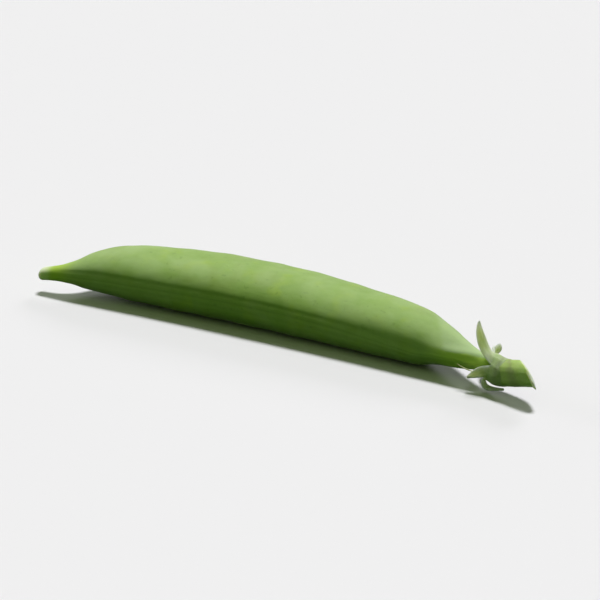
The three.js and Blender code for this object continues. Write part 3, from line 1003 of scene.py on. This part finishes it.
def build_thread_skin():
    husk, shader = new_material("withered_thread", Roughness=0.85, IOR=1.4, Sheen_Weight=0.2)
    place = place_of(husk)
    run = attribute(husk, "run")
    cloud = group(husk, BLOTCHES, "Mask", Vector=place, Size=0.9 * MM, Contrast=2.6)
    grain = group(husk, GRAIN, "Height", Vector=place, Size=0.08 * MM)
    colour = blend(cloud, rgb("b9b786"), rgb("d8d6ae"))
    colour = blend(smooth_step(run, 0.85, 1.0) * 0.7, colour, rgb("9c8050"))
    join_shader(shader, Base_Color=colour, Normal=bumped(grain, 0.02 * MM, 0.8))
    return husk


# %% [markdown]
# ## Grow the stem and the threads
# The stem starts inside the cup, where its cut face is hidden, and broke off at a slant, so that its lower,
# near side is the longest. A thread's line starts between the cup and the neck. Its points are given as a
# sepal's are.

# %% The stem
stem = grow("stem_stub", STALK_TREE, {
    "Start": 0.38, "Radius": 2.24 * MM, "End Radius": 2.02 * MM, "Steps": 110, "Sides": 72, "Furrows": 5.0,
    "Furrow Depth": 0.03 * MM, "Wander": 0.14 * MM, "Ragged": 0.35 * MM,
    "Outer Side": (SEAMWARD * 2 - UP).normalized(), "Slant": 2.8 * MM, "Fibre": 0.2 * MM,
    "Hook": UP * -0.55 * MM, "Skin": build_stem_skin(),
}, STALK_LINE)
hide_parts("stem")
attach(stem, "root")

# %% The threads
THREADS = {
    "stamen_thread_long": (130, [(1.8, 0.8, 0), (3.6, 1.3, -1), (4.9, 1.2, -2)]),
    "stamen_thread_short": (272, [(2, 1.3, -0.2), (3.2, 2.9, -0.6), (4.4, 4.3, -0.4)]),
}
THREAD_FOOT_RADIUS = 1.63 * MM
THREAD_STEPS = 6
THREAD_SKIN = build_thread_skin()


def thread_line(degrees, path):
    """A thread's points, from its foot inside the rim, by the same three directions as a sepal's."""
    turn = math.radians(degrees)
    out = UP * math.cos(turn) + SEAMWARD * math.sin(turn)
    rim = RIM_SLANT * (1 + math.cos(turn - RIM_SHORT_TURN)) / 2
    foot = MOUTH + AXIS * rim + out * THREAD_FOOT_RADIUS
    handles = [foot]
    for beakward, outwards, aside in path:
        handles.append(foot + (out * outwards - AXIS * beakward + AXIS.cross(out) * aside) * MM)
    # The points are a curve's handles, so the line is read off the curve that they pull.
    line = []
    for step in range(THREAD_STEPS + 1):
        t = step / THREAD_STEPS
        weights = [(1 - t) ** 3, 3 * t * (1 - t) ** 2, 3 * t * t * (1 - t), t ** 3]
        line.append(sum((handle * weight for handle, weight in zip(handles, weights)), Vector()))
    return line


for name, (degrees, path) in THREADS.items():
    thread = grow(name + "_fine", STALK_TREE, {
        "Radius": 0.15 * MM, "End Radius": 0.09 * MM, "Steps": 60, "Sides": 12, "Furrows": 2.0,
        "Furrow Depth": 0.02 * MM, "Wander": 0.12 * MM, "Ragged": 0.2 * MM, "Outer Side": AXIS,
        "Slant": 0.0, "Fibre": 0.0, "Skin": THREAD_SKIN,
    }, drawn_line(name, thread_line(degrees, path)))
    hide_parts(name)
    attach(thread, "root")

# %% [markdown]
# ## The table, the light and the camera
# The table is matt and nearly white to the camera, and in the rays that gloss or clear matter send on. To
# the rays that carry its light to the pod it is a dim green, as though more pods lay around, so the
# underside stays as deep as it is in a heap.
#
# There are four lamps. A broad one overhead, a little behind, makes the pale upper side. A low one behind
# draws the pale upper edge and shines through the sepals. A weak green one from the front fills the shade,
# as light from leaves would, and a low one at the beak's end lights its tip. They stand so far off that the
# table is evenly bright.
#
# The camera stands on the seam's side, turned a little towards the stem and raised a little above the pod.
# Its lens is long, so that the near end and the far end keep their sizes.


# %% The table
# Its colour as it is seen, and for the light that it sheds on the pod.
TABLE_SEEN = (0.85, 0.825, 0.88, 1)
TABLE_SHED = (0.05, 0.11, 0.015, 1)


def build_table():
    """A square of six metres, stage for the piece and no part of it."""
    mesh = bpy.data.meshes.new("table")
    reach = 3.0
    corners = [(-reach, -reach, 0), (reach, -reach, 0), (reach, reach, 0), (-reach, reach, 0)]
    mesh.from_pydata(corners, [], [(0, 1, 2, 3)])
    table = bpy.data.objects.new("table", mesh)
    bpy.context.scene.collection.objects.link(table)
    material, shader = new_material("table_top", Roughness=0.9, Specular_IOR_Level=0.1)
    rays = add_node(material.node_tree, "ShaderNodeLightPath")
    seen = Wire(rays, "Is Camera Ray").math("MAXIMUM", Wire(rays, "Is Glossy Ray"))
    seen = seen.math("MAXIMUM", Wire(rays, "Is Transmission Ray"))
    join_shader(shader, Base_Color=blend(seen, TABLE_SHED, TABLE_SEEN))
    mesh.materials.append(material)
    table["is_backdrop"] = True


build_table()


# %% Lamps and sky
def towards(azimuth, elevation):
    """The direction to a place at these angles, in degrees. Azimuth 0 is the side that the seam faces."""
    turn = math.radians(azimuth)
    rise = math.radians(elevation)
    return Vector((math.sin(turn) * math.cos(rise), -math.cos(turn) * math.cos(rise), math.sin(rise)))


def add_lamp(name, azimuth, elevation, softness, strength, colour=(1, 1, 1)):
    """A far lamp. Its angles say where it stands, and its softness is how wide it looks, all in degrees."""
    light = bpy.data.lights.new(name, "SUN")
    light.angle = math.radians(softness)
    light.energy = strength
    light.color = colour
    lamp = bpy.data.objects.new(name, light)
    lamp.rotation_mode = "QUATERNION"
    lamp.rotation_quaternion = towards(azimuth, elevation).to_track_quat("Z", "Y")
    bpy.context.scene.collection.objects.link(lamp)
    print(f"lamp {name}: {strength} from azimuth {azimuth}, elevation {elevation}")


add_lamp("overhead", 195, 72, 15, 2.7)
add_lamp("behind", 182, 26, 20, 0.65)
add_lamp("front_fill", 15, 42, 60, 0.28, (0.66, 1.0, 0.28))
add_lamp("beak_side", -94, 8, 30, 0.8)
world = bpy.data.worlds.new("studio")
world.use_nodes = True
sky = world.node_tree.nodes["Background"]
sky.inputs["Color"].default_value = (0.85, 1, 0.6, 1)
sky.inputs["Strength"].default_value = 0.05
bpy.context.scene.world = world
bpy.context.scene.view_settings.view_transform = "Standard"

# %% The camera
CAMERA_AZIMUTH = 20
CAMERA_ELEVATION = 20
CAMERA_ROLL = math.radians(5.16)
CAMERA_DISTANCE = 0.65
PICTURE_WIDTH = 98 * MM
MIDDLE = (CAD_BOX[0] + CAD_BOX[1]) / 2
lens = bpy.data.cameras.new("camera")
lens.lens = lens.sensor_width * CAMERA_DISTANCE / PICTURE_WIDTH
camera = bpy.data.objects.new("camera", lens)
back = towards(CAMERA_AZIMUTH, CAMERA_ELEVATION)
camera.location = MIDDLE + back * CAMERA_DISTANCE
camera.rotation_mode = "QUATERNION"
# The roll leans the picture, so that the pod runs down from its beak as it would over the edge of a heap.
camera.rotation_quaternion = back.to_track_quat("Z", "Y") @ Quaternion((0, 0, 1), CAMERA_ROLL)
bpy.context.scene.collection.objects.link(camera)
bpy.context.scene.camera = camera
print(f"camera with a lens of {lens.lens:.0f} mm, {CAMERA_DISTANCE} m from the pod")

# %% [markdown]
# ## Measure and finish
# The finished surface has to be the size of the solids that it stands for. Both boxes are printed.

# %% Finish
boxes = {"cad": [list(corner) for corner in CAD_BOX], "visual": [list(corner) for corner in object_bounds()]}
for name, box in boxes.items():
    print(name, "box in mm:", [[round(part / MM, 2) for part in corner] for corner in box])
